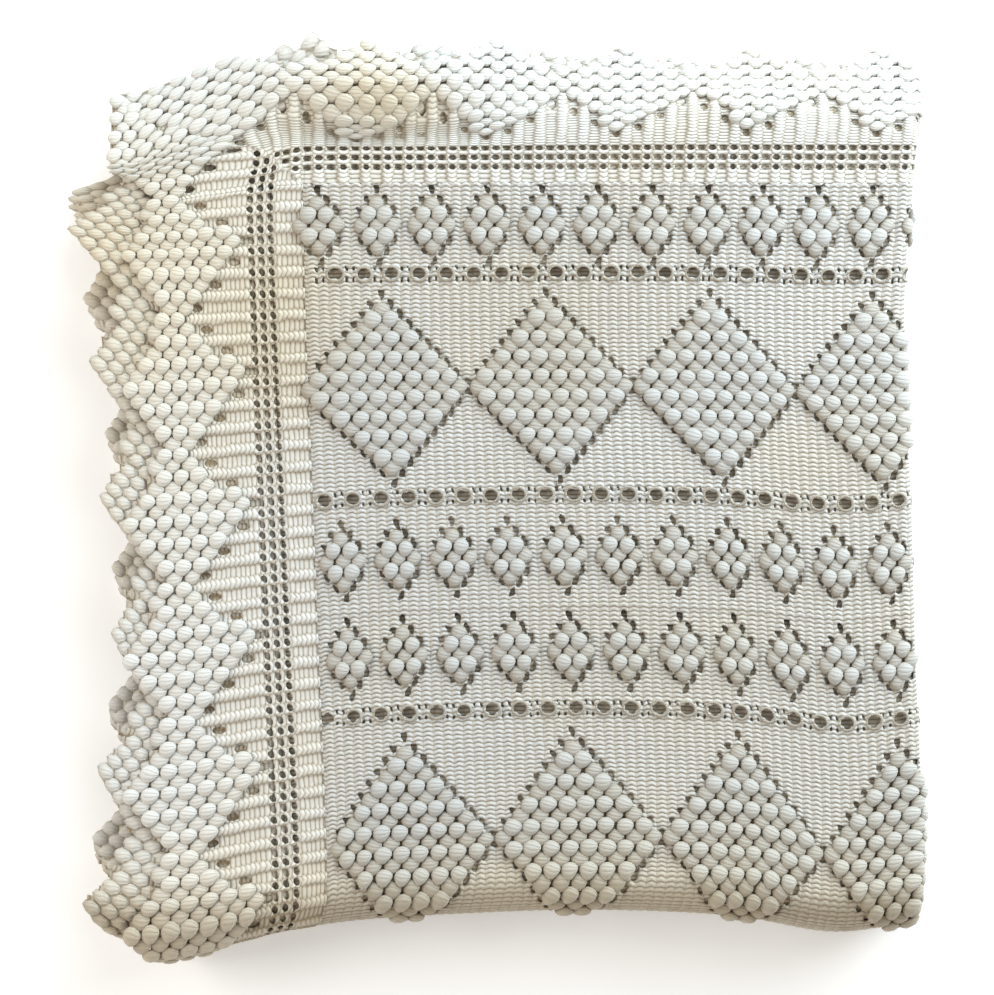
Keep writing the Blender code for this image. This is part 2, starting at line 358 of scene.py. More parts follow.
def spot_strength(spots, placed):
    """How strongly soft-edged spots colour each point."""
    total = 0
    for spot in spots:
        across = (placed[:, 0] - spot.x) / spot.half_x
        down = (placed[:, 1] - spot.y) / spot.half_y
        total = total + spot.strength * np.exp(-across ** 2 - down ** 2)
    return total


def lay_down(name, work, shape, cotton):
    """Make flat work into a piece: its stitches raised by shape, its folds made.

    The shape gives the raised points, a stitch chart and how deep in shade each point is.
    """
    mesh = bpy.data.meshes.new(name)
    bmesh.ops.reverse_faces(work, faces=work.faces)    # laying the cloth out mirrors it
    work.to_mesh(mesh)
    work.free()
    flat = keep_points(mesh)
    ends = np.empty(len(mesh.loops), int)
    mesh.loops.foreach_get("vertex_index", ends)
    chart = mesh.uv_layers.new(name="chart")
    raised, stitches, deep = shape(flat)
    placed = fold(raised)
    # Painted shade where the cloth turns down at the near fold and in the hollows listed in SHADED
    deep = deep + NEAR_SHADE * ramp(placed[:, 1], NEAR_FOLD) + spot_strength(SHADED, placed)
    chart.data.foreach_set("uv", stitches[ends].ravel())
    shade = mesh.attributes.new("deep", "FLOAT", "POINT")
    shade.data.foreach_set("value", deep)
    # The warm attribute lays painted warm shade in hollows and round the near fold, and a yellower
    # tint at the upper left
    warm = mesh.attributes.new("warm", "FLOAT", "POINT")
    warm.data.foreach_set("value", spot_strength(YELLOW_TINT_AND_WARM_SHADE, placed))
    mesh.vertices.foreach_set("co", placed.ravel())
    mesh.materials.append(cotton)
    mesh.shade_smooth()
    mesh.update()
    piece = bpy.data.objects.new(name, mesh)
    bpy.context.scene.collection.objects.link(piece)
    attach(piece, "root")
    return piece


CLOTH = 0.0016            # thickness of the cloth between its stitches


def thicken(piece):
    """Give a worked cloth its thickness, downwards from its face."""
    cloth = piece.modifiers.new("Cloth", "SOLIDIFY")
    cloth.thickness = CLOTH
    cloth.offset = -1.0
    cloth.use_even_offset = False


RIB = 0.0070              # two rows of trebles, which stand up as one rib
STRAND = 0.00315          # from one strand of yarn to the next, along a row
LEAN = 0.045              # the work leans over by this much as it goes down
CREAM = (0.65, 0.645, 0.628, 1)
# TAN is the colour of painted shade: between strands, under bobbles, on hidden layers and wherever
# the deep attribute asks
TAN = (0.33, 0.26, 0.165, 1)

# Where the middles of a strip's patterns lie, from its upper seam and from the border's seam
Chart = namedtuple("Chart", "small_1 eyes_1 large eyes_2 small_2 tall small_x eyes_x large_x")
PLAIN_CHART = Chart(0.033, 0.074, 0.1485, 0.223, 0.264, 0.066, 0.015, 0.006, 0.058)
CHARTS = {
    1: Chart(0.0287, 0.0623, 0.1428, 0.2190, 0.2625, 0.066, 0.009, 0.000, 0.053),
    2: Chart(0.0330, 0.0728, 0.1640, 0.2420, 0.2700, 0.074, 0.0215, 0.004, 0.061),
}
LOWER_SMALL_SHIFT = 0.010         # the lower row of each kind starts this much later
LOWER_EYES_SHIFT = 0.008
SMALL_PITCH = 0.0388
LARGE_PITCH = 0.1166
EYE_PITCH = 0.0194
SMALL_HALF_X = 0.0185
SMALL_HALF_Y = 0.0252
LARGE_HALF_X = 0.0583
SMALL_ROWS = 3                    # bobbles along a side of a diamond
LARGE_ROWS = 9
SMALL_BOBBLES = 0.0114            # from bobble to bobble in a small diamond,
LARGE_BOBBLES = 0.0130            # and in a large one
Diamond = namedtuple("Diamond", "x y half_x half_y rows pitch")

# Half width, half height, slant and taper of each kind of hole
UPPER_LEFT_HOLE = (0.0023, 0.0028, 0.30, 0.45)
LOWER_LEFT_HOLE = (0.0018, 0.0030, 0.45, -0.30)
UPPER_RIGHT_HOLE = (0.0021, 0.0039, 0.15, 0.45)
LOWER_RIGHT_HOLE = (0.0021, 0.0039, -0.25, -0.45)
TIP_HOLE = (0.0030, 0.0022, 0, 0)
ABOVE_TIP = 0.0040
BELOW_TIP = 0.0036
EYELET = (0.0050, 0.0042, 0, 0)
UPPER_SLIT = (0.0010, 0.0022, 0.25, 0)
LOWER_SLIT = (0.0010, 0.0022, 0, 0)
SLIT_SPREAD = 0.0023
SLIT_ABOVE = 0.0036
SLIT_BELOW = 0.0044
PATTERN_MARGIN = 0.004            # patterns stop this far from the far seam
HOLE_MARGIN = 0.003               # and holes this far from the seams and the cuts


def strip_patterns(index):
    """The diamonds and the middles of the eyelets of one strip."""
    chart = CHARTS.get(index, PLAIN_CHART)
    top = BORDER + STRIP * (index - 1)
    end = WIDTH - BORDER - PATTERN_MARGIN
    diamonds = []
    eyes = []
    for down, shift in ((chart.small_1, 0.0), (chart.small_2, LOWER_SMALL_SHIFT)):
        x = BORDER + (chart.small_x + shift)
        while x < end:
            diamonds.append(Diamond(
                x, top + down, SMALL_HALF_X, SMALL_HALF_Y, SMALL_ROWS, SMALL_BOBBLES))
            x += SMALL_PITCH
    x = BORDER + chart.large_x
    while x < end:
        diamonds.append(Diamond(
            x, top + chart.large, LARGE_HALF_X, chart.tall, LARGE_ROWS, LARGE_BOBBLES))
        x += LARGE_PITCH
    for down, shift in ((chart.eyes_1, 0.0), (chart.eyes_2, LOWER_EYES_SHIFT)):
        x = BORDER + chart.eyes_x + shift
        while x < end:
            eyes.append((x, top + down))
            x += EYE_PITCH
    return diamonds, eyes


def diamond_holes(diamond):
    """The small holes along the four sides of a diamond, each leaning with its side."""
    steps = diamond.rows + 0.4
    for step in range(diamond.rows):
        across = diamond.half_x * (step + 0.15) / steps
        down = diamond.half_y * (1 - step / steps)
        lean = LEAN * down
        if step > 0:
            yield Hole(diamond.x - across - lean, diamond.y - down, *UPPER_LEFT_HOLE)
            yield Hole(diamond.x - across + lean, diamond.y + down, *LOWER_LEFT_HOLE)
        yield Hole(diamond.x + across - lean, diamond.y - down, *UPPER_RIGHT_HOLE)
        yield Hole(diamond.x + across + lean, diamond.y + down, *LOWER_RIGHT_HOLE)
    if diamond.rows == LARGE_ROWS:
        yield Hole(diamond.x + diamond.half_x, diamond.y - ABOVE_TIP, *TIP_HOLE)
        yield Hole(diamond.x + diamond.half_x, diamond.y + BELOW_TIP, *TIP_HOLE)


def eye_holes(x, y):
    """An eyelet, and the slits in the knots beside it."""
    yield Hole(x, y, *EYELET)
    for side in (-1, 1):
        yield Hole(x + EYE_PITCH / 2 + side * SLIT_SPREAD, y - SLIT_ABOVE, *UPPER_SLIT)
        yield Hole(x + EYE_PITCH / 2 + side * SLIT_SPREAD, y + SLIT_BELOW, *LOWER_SLIT)


STRAND_HEIGHT = 0.00045
RIB_HEIGHT = 0.0006
WAVE_HEIGHT = 0.0013      # the strands wave by this much, up and down the cloth
DIP = 0.0008              # the cloth lies this much lower under the bobbles
RIM_HEIGHT = 0.0011
SEAM_HEIGHT = 0.0006
SEAM_WIDTH = 0.0016
BARE_RIM = Span(0.80, 0.95)       # from under the bobbles of a diamond to the bare cloth
HIDDEN_SHADE = 0.40       # painted shade on the hidden layers, for the shade of their stitches and of the layers above
HIDDEN_FROM = FACE_DOWN + 0.49


def strip_shape(index, diamonds, eyes):
    """How a strip's yarn stands up: wavy strands, ribs, rims of eyelets, flat under bobbles."""
    top = BORDER + STRIP * (index - 1)
    strand = STRIP / round(STRIP / STRAND)

    def shape(flat):
        x, y = flat[:, 0], flat[:, 1]
        bare = np.ones(len(x))
        for row in diamonds:
            near = (abs(x - row.x) < row.half_x) & (abs(y - row.y) < row.half_y)
            inside = abs(x[near] - row.x) / row.half_x + abs(y[near] - row.y) / row.half_y
            bare[near] = np.minimum(bare[near], ramp(inside, BARE_RIM))
        arch = abs(np.cos(math.pi * x / RIB))
        crest = np.cos(2 * math.pi * (y - top) / strand)
        n = bare * (STRAND_HEIGHT * crest + RIB_HEIGHT * (arch - 0.6)) - DIP * (1 - bare)
        for eye_x, eye_y in eyes:
            near = (abs(x - eye_x) < 0.010) & (abs(y - eye_y) < 0.009)
            far = np.hypot((x[near] - eye_x) / EYELET[0], (y[near] - eye_y) / EYELET[1])
            n[near] += RIM_HEIGHT * np.exp(-((far - 1.15) / 0.25) ** 2)
        seam = np.minimum(abs(y - top), abs(y - top - STRIP))
        n += SEAM_HEIGHT * np.exp(-(seam / SEAM_WIDTH) ** 2)
        raised = np.stack([x, y - WAVE_HEIGHT * bare * (arch - 0.5), n], axis=1)
        # Painted shade: the cloth under the bobbles of a diamond is darkened, and the hidden
        # layers get HIDDEN_SHADE
        hidden = ((x > FACE_ACROSS + 0.01) & (y < FACE_DOWN)) | (y > HIDDEN_FROM)
        deep = np.where(hidden, HIDDEN_SHADE, 0.8 * (1 - bare))
        return raised, np.stack([x / RIB, (y - top) / strand], axis=1) - 0.25, deep

    return shape


def formula(tree, operation, first, second=0.0, clamp=False):
    """Add one step of arithmetic to a material, and give back its result."""
    step = tree.nodes.new("ShaderNodeMath")
    step.operation = operation
    step.use_clamp = clamp
    for socket, value in zip(step.inputs, (first, second)):
        if isinstance(value, float):
            socket.default_value = value
        else:
            tree.links.new(value, socket)
    return step.outputs["Value"]


def start_cotton(name, cream, chart_name):
    """A matt cotton with slow changes of tint; gives its tree, shader, chart and creams."""
    cotton = bpy.data.materials.new(name)
    cotton.use_nodes = True
    tree = cotton.node_tree
    shader = tree.nodes["Principled BSDF"]
    shader.inputs["Roughness"].default_value = 0.9
    shader.inputs["Sheen Weight"].default_value = 0.2
    chart = tree.nodes.new("ShaderNodeUVMap")
    chart.uv_map = chart_name
    place = tree.nodes.new("ShaderNodeTexCoord")
    uneven = tree.nodes.new("ShaderNodeTexNoise")
    uneven.inputs["Scale"].default_value = 130
    uneven.inputs["Detail"].default_value = 1
    tree.links.new(place.outputs["Object"], uneven.inputs["Vector"])
    strayed = tree.nodes.new("ShaderNodeVectorMath")
    strayed.operation = "MULTIPLY_ADD"
    strayed.inputs[1].default_value = (0.5, 0.5, 0)
    tree.links.new(uneven.outputs["Color"], strayed.inputs[0])
    tree.links.new(chart.outputs["UV"], strayed.inputs[2])
    parts = tree.nodes.new("ShaderNodeSeparateXYZ")
    tree.links.new(strayed.outputs["Vector"], parts.inputs["Vector"])
    blotches = tree.nodes.new("ShaderNodeTexNoise")
    blotches.inputs["Scale"].default_value = 9
    blotches.inputs["Detail"].default_value = 3
    tree.links.new(place.outputs["Object"], blotches.inputs["Vector"])
    tone_and_warm_shade = tree.nodes.new("ShaderNodeMix")
    tone_and_warm_shade.data_type = "RGBA"
    tone_and_warm_shade.inputs["A"].default_value = cream
    tone_and_warm_shade.inputs["B"].default_value = (cream[0] * 1.02, cream[1] * 0.925, cream[2] * 0.75, 1)
    # The yellower cream comes in at random blotches, and where the warm attribute lays painted
    # warm shade and tint
    warm = tree.nodes.new("ShaderNodeAttribute")
    warm.attribute_name = "warm"
    share = formula(tree, "SUBTRACT", blotches.outputs["Fac"], 0.45)
    share = formula(tree, "MULTIPLY", share, 1.6)
    share = formula(tree, "ADD", share, warm.outputs["Fac"], clamp=True)
    tree.links.new(share, tone_and_warm_shade.inputs["Factor"])
    return cotton, tree, shader, parts, tone_and_warm_shade.outputs["Result"]


def finish_cotton(tree, shader, cream, dark, height, depth):
    """Put in the shade between strands, and the bump of strands and of loose fibres."""
    tint = tree.nodes.new("ShaderNodeMix")
    tint.data_type = "RGBA"
    tint.inputs["B"].default_value = TAN
    tree.links.new(cream, tint.inputs["A"])
    tree.links.new(dark, tint.inputs["Factor"])
    tree.links.new(tint.outputs["Result"], shader.inputs["Base Color"])
    place = tree.nodes.new("ShaderNodeTexCoord")
    fibres = tree.nodes.new("ShaderNodeTexNoise")
    fibres.inputs["Scale"].default_value = 1100
    fibres.inputs["Detail"].default_value = 2
    tree.links.new(place.outputs["Object"], fibres.inputs["Vector"])
    rough = formula(tree, "MULTIPLY", fibres.outputs["Fac"], 0.5)
    bump = tree.nodes.new("ShaderNodeBump")
    bump.inputs["Distance"].default_value = depth
    tree.links.new(formula(tree, "ADD", height, rough), bump.inputs["Height"])
    tree.links.new(bump.outputs["Normal"], shader.inputs["Normal"])


def arch_of(tree, value):
    """1 at whole numbers, falling to 0 half way between them."""
    wave = formula(tree, "COSINE", formula(tree, "MULTIPLY", value, math.pi))
    return formula(tree, "ABSOLUTE", wave)


def deep_of(tree):
    """How deep in shade a point is, as its mesh says."""
    deep = tree.nodes.new("ShaderNodeAttribute")
    deep.attribute_name = "deep"
    return deep.outputs["Fac"]


def strip_cotton():
    """Trebles in ribs, with tan shade between the strands and at the sides of the ribs."""
    cotton, tree, shader, chart, cream = start_cotton("strip_cotton", CREAM, "chart")
    strand = formula(tree, "POWER", arch_of(tree, chart.outputs["Y"]), 0.8)
    rib = arch_of(tree, chart.outputs["X"])
    gap = formula(tree, "POWER", formula(tree, "SUBTRACT", 1.0, strand), 1.3)
    side = formula(tree, "POWER", formula(tree, "SUBTRACT", 1.0, rib), 5.0)
    gap = formula(tree, "MULTIPLY", gap, 0.9)
    side = formula(tree, "MULTIPLY", side, 0.35)
    shade = formula(tree, "ADD", gap, side)
    dark = formula(tree, "ADD", shade, deep_of(tree), clamp=True)
    height = formula(tree, "MULTIPLY", strand, formula(tree, "ADD", rib, 0.5))
    finish_cotton(tree, shader, cream, dark, height, 0.0007)
    return cotton


STRIP_COTTON = strip_cotton()
COARSE = 0.024            # from cut to cut in cloth that is hidden
FACE_STRIPS = 2           # strips 1 and 2 show on the face of the pile
strip_diamonds = {}
strip_eyes = {}
for number in range(1, STRIPS + 1):
    top = BORDER + STRIP * (number - 1)
    diamonds, eyes = strip_patterns(number)
    work = bmesh.new()
    if number <= FACE_STRIPS:
        face_columns = even(BORDER, FACE_ACROSS, RIB / 4)
        add_flat(work, face_columns, even(top, top + STRIP, STRAND / 2))
        holes = [hole for diamond in diamonds for hole in diamond_holes(diamond)]
        holes += [hole for eye in eyes for hole in eye_holes(*eye)]
        first, last = BORDER + HOLE_MARGIN, FACE_ACROSS - HOLE_MARGIN
        open_holes(work, [hole for hole in holes if first < hole.x < last])
        rest = FACE_ACROSS
    else:
        rest = BORDER
    columns = cuts(ACROSS, 0, COARSE, rest, WIDTH - BORDER)
    rows = cuts(DOWN, STACK / 2, COARSE, top, top + STRIP)
    add_flat(work, columns, rows)
    shape = strip_shape(number, diamonds, eyes)
    piece = lay_down(f"worked_strip_{number}", work, shape, STRIP_COTTON)
    thicken(piece)
    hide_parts(f"strip_{number}")
    strip_diamonds[number] = diamonds
    strip_eyes[number] = eyes


# ---------------------------------------------------------------------------------------------
# The bobbles of the field: puffs of trebles drawn together at both ends, of the same yarn as
# the strip they stand on.  Rows of proud bobbles alternate with rows of sunken ones.
# ---------------------------------------------------------------------------------------------
# The strip's own cream, painted darker so that the raised bobbles are shaded
SHADED_BOBBLE_CREAM = (0.535, 0.535, 0.518, 1)


def bobble_cotton(name, tint):
    """The same yarn along the strands of a bobble."""
    cotton, tree, shader, yarn, cream = start_cotton(name, tint, "yarn")
    strand = formula(tree, "POWER", arch_of(tree, yarn.outputs["Y"]), 0.7)
    # Painted shade between the strands of a bobble, and wherever the deep attribute asks
    gap = formula(tree, "POWER", formula(tree, "SUBTRACT", 1.0, strand), 2.0)
    dark = formula(tree, "ADD", formula(tree, "MULTIPLY", gap, 0.14), deep_of(tree), clamp=True)
    finish_cotton(tree, shader, cream, dark, strand, 0.00032)
    return cotton


BOBBLE_COTTON = bobble_cotton("strip_bobble_cotton", SHADED_BOBBLE_CREAM)
PUFF_STRANDS = 12
RIGHT_TAPER = 0.22        # a bobble is drawn to a point at its upper right,
RIGHT_DROOP = 0.24
FOOT_TAPER = 0.25         # and is narrower at its lower end


def puff(around, rings, turn):
    """One bobble of half size 1, its strands gathered at its two ends."""
    work = bmesh.new()
    yarn = work.loops.layers.uv.new("yarn")
    sideways = Matrix.Rotation(math.pi / 2, 4, "Y")
    bmesh.ops.create_uvsphere(
        work, u_segments=around, v_segments=rings, radius=1, matrix=sideways)
    for face in work.faces:
        angles = [math.atan2(loop.vert.co.y, loop.vert.co.z) for loop in face.loops]
        for loop, angle in zip(face.loops, angles):
            if max(angles) - min(angles) > math.pi and angle < 0:
                angle += 2 * math.pi
            if abs(loop.vert.co.x) > 0.999:
                angle = sum(angles) / len(angles)
            loop[yarn].uv = (loop.vert.co.x, angle / (2 * math.pi) * PUFF_STRANDS)
    bmesh.ops.rotate(work, verts=work.verts, matrix=Matrix.Rotation(turn, 3, "Z"))
    for point in work.verts:
        right = max(point.co.x, 0)
        point.co.y = point.co.y * (1 - RIGHT_TAPER * right) - RIGHT_DROOP * right ** 2
        point.co.x *= 1 - FOOT_TAPER * max(point.co.y, 0) ** 2
    mesh = bpy.data.meshes.new("puff")
    work.to_mesh(mesh)
    work.free()
    return mesh


FINE_PUFF = puff(12, 6, math.radians(12))
PLAIN_PUFF = puff(6, 4, 0)


def bobble_shape(flat):
    """Bobbles are in shade at their feet, down between their neighbours."""
    deep = ramp(flat[:, 2], Span(0.0040, -0.0006), most=0.85)
    return flat, flat[:, :2], deep


chance = random.Random(7)
BOBBLE_STRAY = 0.0004


def add_bobble(work, template, x, y, z, size):
    """Set one bobble on the flat cloth, its middle at (x, y, z) and its half sizes as given."""
    x += chance.uniform(-1, 1) * BOBBLE_STRAY
    y += chance.uniform(-1, 1) * BOBBLE_STRAY
    place = Matrix.Translation((x, y, z))
    turn = Matrix.Rotation(chance.uniform(-0.15, 0.25), 4, "Z") @ Matrix.Rotation(-0.12, 4, "Y")
    wide, tall, high = size
    wobble = chance.uniform(0.94, 1.06)
    move = place @ turn @ Matrix.Diagonal((wide * wobble, tall * wobble, high, 1))
    template.transform(move)
    work.from_mesh(template)
    template.transform(move.inverted())


RING_RADIUS = 0.0057
RING_YARN = 0.0011
RING_STITCHES = 22


def eyelet_ring():
    """The buttonholed ring of an eyelet, lying flat."""
    work = bmesh.new()
    yarn = work.loops.layers.uv.new("yarn")
    across = Matrix.Translation((RING_RADIUS, 0, 0)) @ Matrix.Rotation(math.pi / 2, 4, "X")
    end = bmesh.ops.create_circle(work, segments=5, radius=RING_YARN, matrix=across)
    bmesh.ops.spin(work, geom=end["verts"] + [edge for edge in work.edges], axis=(0, 0, 1),
                   angle=2 * math.pi, steps=14, use_merge=True)
    bmesh.ops.recalc_face_normals(work, faces=work.faces)
    for face in work.faces:
        turns = [math.atan2(loop.vert.co.y, loop.vert.co.x) / (2 * math.pi) for loop in face.loops]
        for loop, turn in zip(face.loops, turns):
            if max(turns) - min(turns) > 0.5 and turn < 0:
                turn += 1
            loop[yarn].uv = (0, turn * RING_STITCHES)
    mesh = bpy.data.meshes.new("ring")
    work.to_mesh(mesh)
    work.free()
    return mesh


RING = eyelet_ring()


ROW_CLOSENESS = 0.973


def diamond_bobbles(diamond):
    """Places of the bobbles that fill a diamond, and whether each stands proud."""
    step = diamond.half_y * ROW_CLOSENESS / (diamond.rows + 0.3)
    for row in range(1 - diamond.rows, diamond.rows):
        here = diamond.rows - abs(row)
        for spot in range(here):
            x = diamond.x + (spot - (here - 1) / 2) * diamond.pitch + LEAN * row * step
            yield x, diamond.y + row * step, here % 2 == 0


UNDERSIDE_ACROSS = 0.56   # how far across, and between which strips, the cloth lies on the floor
UNDERSIDE = Span(FACE_DOWN - 0.02, 1.22)


def on_underside(x, y):
    """Whether a bobble of the strips is on the layer that lies on the floor."""
    return x < UNDERSIDE_ACROSS and UNDERSIDE.start < y < UNDERSIDE.end


PROUD = (0.0064, 0.0064, 0.0032)
SUNK = (0.0062, 0.0060, 0.0024)
UNDER = (0.0064, 0.0062, 0.0018)
PROUD_Z = 0.0020          # heights of their middles above the cloth
SUNK_Z = 0.0009
UNDER_Z = 0.0004
RING_Z = 0.0007
RING_SIZE = (1, 0.88, 1)
RING_MARGIN = 0.006
BOBBLED_STRIPS = 4        # the bobbles of strips 1 to 4 can be seen, on the face or from below
for number in range(1, BOBBLED_STRIPS + 1):
    work = bmesh.new()
    for diamond in strip_diamonds[number]:
        close = diamond.pitch / LARGE_BOBBLES
        for x, y, proud in diamond_bobbles(diamond):
            if number <= FACE_STRIPS and x < FACE_ACROSS:
                wide, tall, high = PROUD if proud else SUNK
                z = PROUD_Z if proud else SUNK_Z
                add_bobble(work, FINE_PUFF, x, y, z, (wide * close, tall, high))
            elif on_underside(x, y):
                add_bobble(work, PLAIN_PUFF, x, y, UNDER_Z, UNDER)
    for x, y in strip_eyes[number]:
        if number <= FACE_STRIPS and BORDER + RING_MARGIN < x < FACE_ACROSS - RING_MARGIN:
            add_bobble(work, RING, x, y, RING_Z, RING_SIZE)
    bobbles = lay_down(f"strip_{number}_bobbles", work, bobble_shape, BOBBLE_COTTON)


# ---------------------------------------------------------------------------------------------
# The border: one ring of warmer cream cotton, worked sideways, with three columns of square
# mesh at its seam, then ribs, then a zigzag of bobbles that makes the outer edge.
# ---------------------------------------------------------------------------------------------
DEPTH = 0.028             # from a tip to a notch
TIP_ROWS = 12             # rows of the border from one tip to the next
BORDER_CREAM = (0.77, 0.76, 0.725, 1)
MESH_PITCH = 0.0068
EDGE_PITCH = 0.0118       # from bobble to bobble, in from the edge
BAR = 0.0033              # from stitch to stitch along a rib
FACE_BAND = 0.045         # the outer part, which bobbles cover
CORNER = 0.050            # the edge is straight this close to a corner of the cloth,
CORNER_FADE = 0.030       # and has its full notches this much further on
MESH_MIDDLE = 0.1015
MESH_HALF = 0.012
RAISED = 0.0017           # height of the raised ribs
SETTLE = 0.0006           # the ribs lie this much into the cloth
EDGE_START = 0.0035       # the first bobble's middle, in from the edge
RIB_HOLE_START = 0.0045   # the middle of a hole, in from the last bobble
RIB_HOLE = (0.0045, 0.0027)       # its half sizes, along its rib and across it
MESH_HOLE = (0.0021, 0.0030)
SIDE_SLANT = 0.25         # how much the rows lean, down the side and along the top
TOP_SLANT = 0.10
EDGE_INSET = 0.003        # the cloth ends this far inside its outer line

Side = namedtuple("Side", "length tips shift mesh")
SIDE_DOWN = Side(LENGTH, 26, -0.011, 0.0998)
SIDE_ACROSS = Side(WIDTH, 24, -0.017, 0.1087)


def row_at(side, u):
    """Which row of the border passes a place along its edge, counted from the first tip."""
    return (u - side.shift) / side.length * side.tips * TIP_ROWS


def from_tip(side, u):
    """Distance along an edge from the nearest tip, as a share: 0 at a tip, 1 at a notch."""
    phase = (row_at(side, u) / TIP_ROWS) % 1
    corner = (min(u, side.length - u) - CORNER) / CORNER_FADE
    return (1 - abs(2 * phase - 1)) * min(max(corner, 0), 1)


def edge_spot(x, y):
    """Distance in from the nearest outer edge, and the length along that edge."""
    gaps = ((x, y, SIDE_DOWN), (WIDTH - x, y, SIDE_DOWN),
            (y, x, SIDE_ACROSS), (LENGTH - y, x, SIDE_ACROSS))
    return min(gaps, key=lambda gap: gap[0])


def outer_line(share):
    """Where the edge of the border is, in from its tips."""
    return DEPTH * share


def inner_line(share):
    """Where the bobbles end and the ribs begin, in from the border's tips."""
    return 0.086 - 0.041 * share


SEEN_LEFT = Span(0.050, 0.112)    # what shows through holes, in from the edge turned under
SEEN_TOP = Span(0.030, 0.063)     # at the left, and from the one below the top
LAST_ACROSS = 1.6                 # where the last run of the cloth begins, across and down
LAST_DOWN = 1.7
SEEN_SHADE = 0.6


def border_shape(flat):
    """How the border's yarn stands up: raised and low ribs, the flatter mesh, flat edges."""
    x, y = flat[:, 0], flat[:, 1]
    gaps = np.stack([x, WIDTH - x, y, LENGTH - y])
    nearest = np.argmin(gaps, axis=0)
    v = gaps.min(axis=0)
    row = np.where(nearest < 2, row_at(SIDE_DOWN, y), row_at(SIDE_ACROSS, x))
    proud = np.floor(row) % 2 == 0
    rib = np.sin(math.pi * (row % 1)) ** 0.5
    low = -0.0003 + 0.0002 * np.cos(2 * math.pi * v / BAR)
    n = np.where(proud, RAISED * rib, low) - SETTLE
    net = np.exp(-((v - MESH_MIDDLE) / MESH_HALF) ** 4)
    n = n * (1 - 0.75 * net)
    hidden = (x > FACE_ACROSS + 0.01) | (y > FACE_DOWN + 0.01)
    under_bobbles = v < FACE_BAND
    n = np.where(hidden & under_bobbles, 0.0001, n)
    seen = (v > SEEN_LEFT.start) & (v < SEEN_LEFT.end) & (y < FACE_DOWN + 0.01) & (x > LAST_ACROSS)
    seen |= (v > SEEN_TOP.start) & (v < SEEN_TOP.end) & (y > LAST_DOWN) & (x < FACE_ACROSS)
    # Painted shade: darker on the cloth under the bobbles and in the low ribs, on the hidden
    # layers, and most where the layers below show through holes
    face_deep = np.where(under_bobbles, 0.5, np.where(proud, 0.0, 0.12))
    deep = np.where(hidden, np.where(under_bobbles, 0.55, 0.15), face_deep)
    deep = np.where(seen, SEEN_SHADE, deep)
    return np.stack([x, y, n], axis=1), np.stack([v / BAR, row], axis=1) - 0.25, deep


def border_holes():
    """The square mesh and the holes at the ends of the low ribs, on the part that shows."""
    holes = []
    for side, reach in ((SIDE_DOWN, FACE_DOWN), (SIDE_ACROSS, FACE_ACROSS)):
        one = side.length / side.tips / TIP_ROWS
        for index in range(2, int(reach / one) + 2):
            u = side.shift + (index + 0.5) * one
            columns = [side.mesh + step * MESH_PITCH for step in (-1, 0, 1)]
            end = reach - HOLE_MARGIN
            spots = [(v, *MESH_HOLE) for v in columns if v + HOLE_MARGIN < u < end]
            v = inner_line(from_tip(side, u)) + RIB_HOLE_START
            if index % 2 and v < u < end:
                spots.append((v, *RIB_HOLE))
            for v, half_v, half_u in spots:
                if side is SIDE_DOWN:
                    holes.append(Hole(v, u, half_v, half_u, SIDE_SLANT, 0))
                else:
                    holes.append(Hole(u, v, half_u, half_v, TOP_SLANT, 0))
    return holes


def outside(face):
    """Whether a face lies outside the border's notched edge."""
    co = face.calc_center_median()
    v, u, side = edge_spot(co.x, co.y)
    return v < outer_line(from_tip(side, u)) + EDGE_INSET


def border_cotton():
    """Strands across every rib, bent in the raised ribs, with tan shade between them."""
    cotton, tree, shader, chart, cream = start_cotton(
        "border_cotton", BORDER_CREAM, "chart")
    row = formula(tree, "FRACT", chart.outputs["Y"])
    low = formula(tree, "FRACT", formula(tree, "MULTIPLY", chart.outputs["Y"], 0.5))
    low = formula(tree, "GREATER_THAN", low, 0.5)
    bend = formula(tree, "ABSOLUTE", formula(tree, "SUBTRACT", row, 0.5))
    bend = formula(tree, "MULTIPLY", bend, 0.9)
    bend = formula(tree, "MULTIPLY", bend, formula(tree, "SUBTRACT", 1.0, low))
    strand = arch_of(tree, formula(tree, "ADD", chart.outputs["X"], bend))
    strand = formula(tree, "POWER", strand, 0.7)
    # Painted shade: darker between strands, more so in the low ribs, and along the edges of every
    # row
    gap = formula(tree, "POWER", formula(tree, "SUBTRACT", 1.0, strand), 1.6)
    edge = formula(tree, "POWER", arch_of(tree, chart.outputs["Y"]), 8.0)
    lower = formula(tree, "ADD", formula(tree, "MULTIPLY", low, 0.3), 0.55)
    shade = formula(tree, "MULTIPLY", gap, lower)
    shade = formula(tree, "ADD", shade, formula(tree, "MULTIPLY", edge, 0.45))
    dark = formula(tree, "ADD", shade, deep_of(tree), clamp=True)
    finish_cotton(tree, shader, cream, dark, strand, 0.0007)
    return cotton


